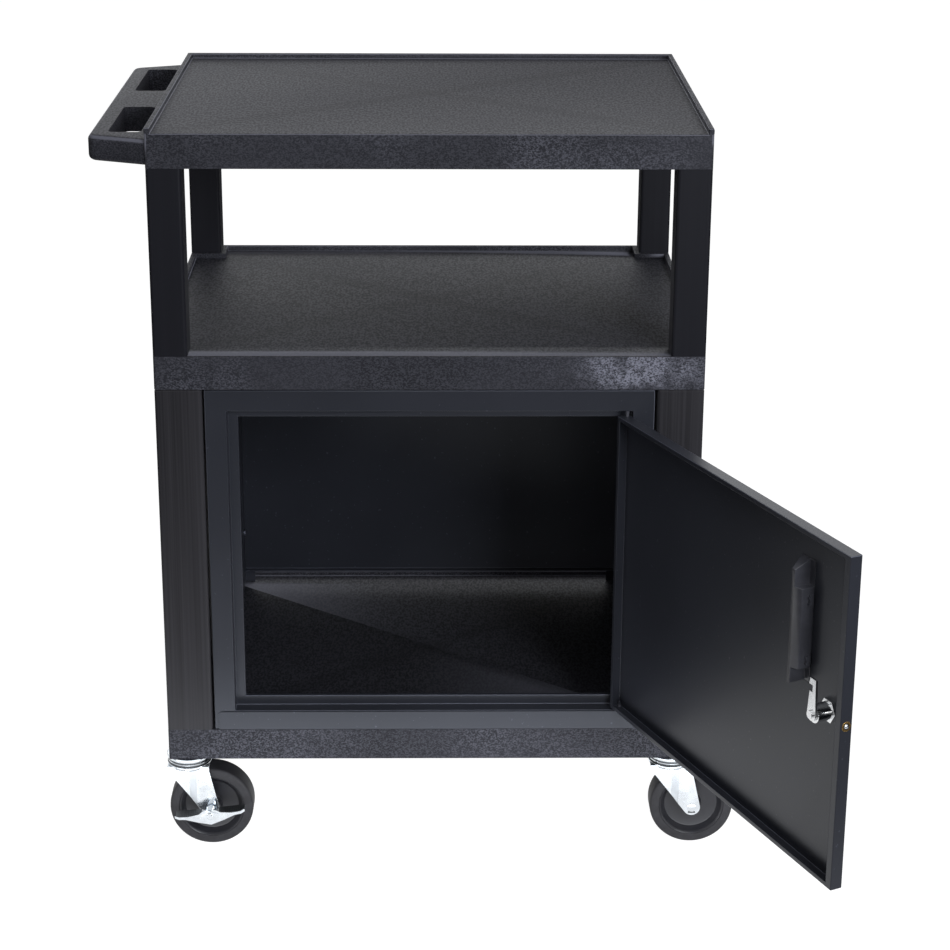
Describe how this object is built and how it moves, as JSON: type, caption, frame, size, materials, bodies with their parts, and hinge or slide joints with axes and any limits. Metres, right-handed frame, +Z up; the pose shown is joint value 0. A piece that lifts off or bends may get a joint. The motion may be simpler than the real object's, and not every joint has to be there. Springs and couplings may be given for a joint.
{
  "type": "utility cart",
  "caption": "Wheeled utility cart with moulded shelves on square legs, an end push handle and a locking steel cabinet whose hinged door stands open.",
  "frame": {"origin": "on the floor, under the centre of the shelves", "axes": "+X to the right seen from the door side, +Y from the door to the back, +Z up"},
  "size_m": [0.7805, 0.8629, 0.8637],
  "materials": {
    "moulded_plastic": "fine pebble grain",
    "leg_plastic": "smooth with faint streaks",
    "coated_steel": "satin powder coat",
    "pull_plastic": "satin",
    "bright_metal": "polished nickel",
    "zinc_steel": "bright zinc",
    "brass": "polished",
    "tyre": "matte",
    "wheel_plastic": "satin"
  },
  "bodies": {
    "cart": {"top_shelf": "moulded_plastic", "middle_shelf": "moulded_plastic", "bottom_shelf": "moulded_plastic", "upper_leg_front_left": "leg_plastic", "upper_leg_front_right": "leg_plastic", "upper_leg_rear_left": "leg_plastic", "upper_leg_rear_right": "leg_plastic", "lower_leg_front_left": "leg_plastic", "lower_leg_front_right": "leg_plastic", "lower_leg_rear_left": "leg_plastic", "lower_leg_rear_right": "leg_plastic", "cabinet_frame": "coated_steel", "cabinet_bottom_rail": "coated_steel", "cabinet_side_left": "coated_steel", "cabinet_side_right": "coated_steel", "cabinet_back": "coated_steel", "cabinet_screws": "bright_metal", "hinge_pins": "bright_metal", "caster_stem_front_left": "zinc_steel", "caster_stem_front_right": "zinc_steel", "caster_stem_rear_left": "zinc_steel", "caster_stem_rear_right": "zinc_steel"},
    "door": {"door_panel": "coated_steel", "hinge_bushes": "pull_plastic", "pull_handle": "pull_plastic", "lock_barrel": "bright_metal", "lock_nut": "bright_metal", "catch_sleeve": "brass"},
    "lock_core": {"lock_plug": "bright_metal", "lock_cam": "bright_metal", "cam_screw": "bright_metal"},
    "catch": {"catch_ball": "zinc_steel"},
    "swivel_front_left": {"caster_fork_front_left": "zinc_steel", "caster_axle_front_left": "zinc_steel"},
    "wheel_front_left": {"wheel_core_front_left": "wheel_plastic", "tyre_front_left": "tyre"},
    "brake_front_left": {"brake_lever_front_left": "zinc_steel"},
    "swivel_front_right": {"caster_fork_front_right": "zinc_steel", "caster_axle_front_right": "zinc_steel"},
    "wheel_front_right": {"wheel_core_front_right": "wheel_plastic", "tyre_front_right": "tyre"},
    "swivel_rear_left": {"caster_fork_rear_left": "zinc_steel", "caster_axle_rear_left": "zinc_steel"},
    "wheel_rear_left": {"wheel_core_rear_left": "wheel_plastic", "tyre_rear_left": "tyre"},
    "brake_rear_left": {"brake_lever_rear_left": "zinc_steel"},
    "swivel_rear_right": {"caster_fork_rear_right": "zinc_steel", "caster_axle_rear_right": "zinc_steel"},
    "wheel_rear_right": {"wheel_core_rear_right": "wheel_plastic", "tyre_rear_right": "tyre"}
  },
  "joints": [
    {"name": "door_swing", "type": "hinge", "parent": "cart", "child": "door", "pos_m": [0.22, -0.2237, 0.3595], "axis": [0, 0, 1], "range_deg": [-115, 4]},
    {"name": "lock_turn", "type": "hinge", "parent": "door", "child": "lock_core", "pos_m": [0.39645, -0.59381, 0.36], "axis": [0.9063, 0.4226, 0], "range_deg": [0, 90]},
    {"name": "catch_press", "type": "slide", "parent": "door", "child": "catch", "axis": [0.4226, -0.9063, 0], "range_m": [-0.0012, 0], "stiffness_N_per_m": 600, "springref_m": 0.002},
    {"name": "swivel_front_left", "type": "hinge", "parent": "cart", "child": "swivel_front_left", "pos_m": [-0.2833, -0.2071, 0.11], "axis": [0, 0, 1], "continuous": true},
    {"name": "roll_front_left", "type": "hinge", "parent": "swivel_front_left", "child": "wheel_front_left", "pos_m": [-0.2578, -0.2071, 0.049], "axis": [0, 1, 0], "continuous": true},
    {"name": "brake_front_left", "type": "hinge", "parent": "swivel_front_left", "child": "brake_front_left", "pos_m": [-0.2578, -0.2071, 0.049], "axis": [0, 1, 0], "range_deg": [0, 16]},
    {"name": "swivel_front_right", "type": "hinge", "parent": "cart", "child": "swivel_front_right", "pos_m": [0.2833, -0.2071, 0.11], "axis": [0, 0, 1], "continuous": true},
    {"name": "roll_front_right", "type": "hinge", "parent": "swivel_front_right", "child": "wheel_front_right", "pos_m": [0.3088, -0.2071, 0.049], "axis": [0, 1, 0], "continuous": true},
    {"name": "swivel_rear_left", "type": "hinge", "parent": "cart", "child": "swivel_rear_left", "pos_m": [-0.2833, 0.2071, 0.11], "axis": [0, 0, 1], "continuous": true},
    {"name": "roll_rear_left", "type": "hinge", "parent": "swivel_rear_left", "child": "wheel_rear_left", "pos_m": [-0.2578, 0.2071, 0.049], "axis": [0, 1, 0], "continuous": true},
    {"name": "brake_rear_left", "type": "hinge", "parent": "swivel_rear_left", "child": "brake_rear_left", "pos_m": [-0.2578, 0.2071, 0.049], "axis": [0, 1, 0], "range_deg": [0, 16]},
    {"name": "swivel_rear_right", "type": "hinge", "parent": "cart", "child": "swivel_rear_right", "pos_m": [0.2833, 0.2071, 0.11], "axis": [0, 0, 1], "continuous": true},
    {"name": "roll_rear_right", "type": "hinge", "parent": "swivel_rear_right", "child": "wheel_rear_right", "pos_m": [0.3088, 0.2071, 0.049], "axis": [0, 1, 0], "continuous": true}
  ]
}
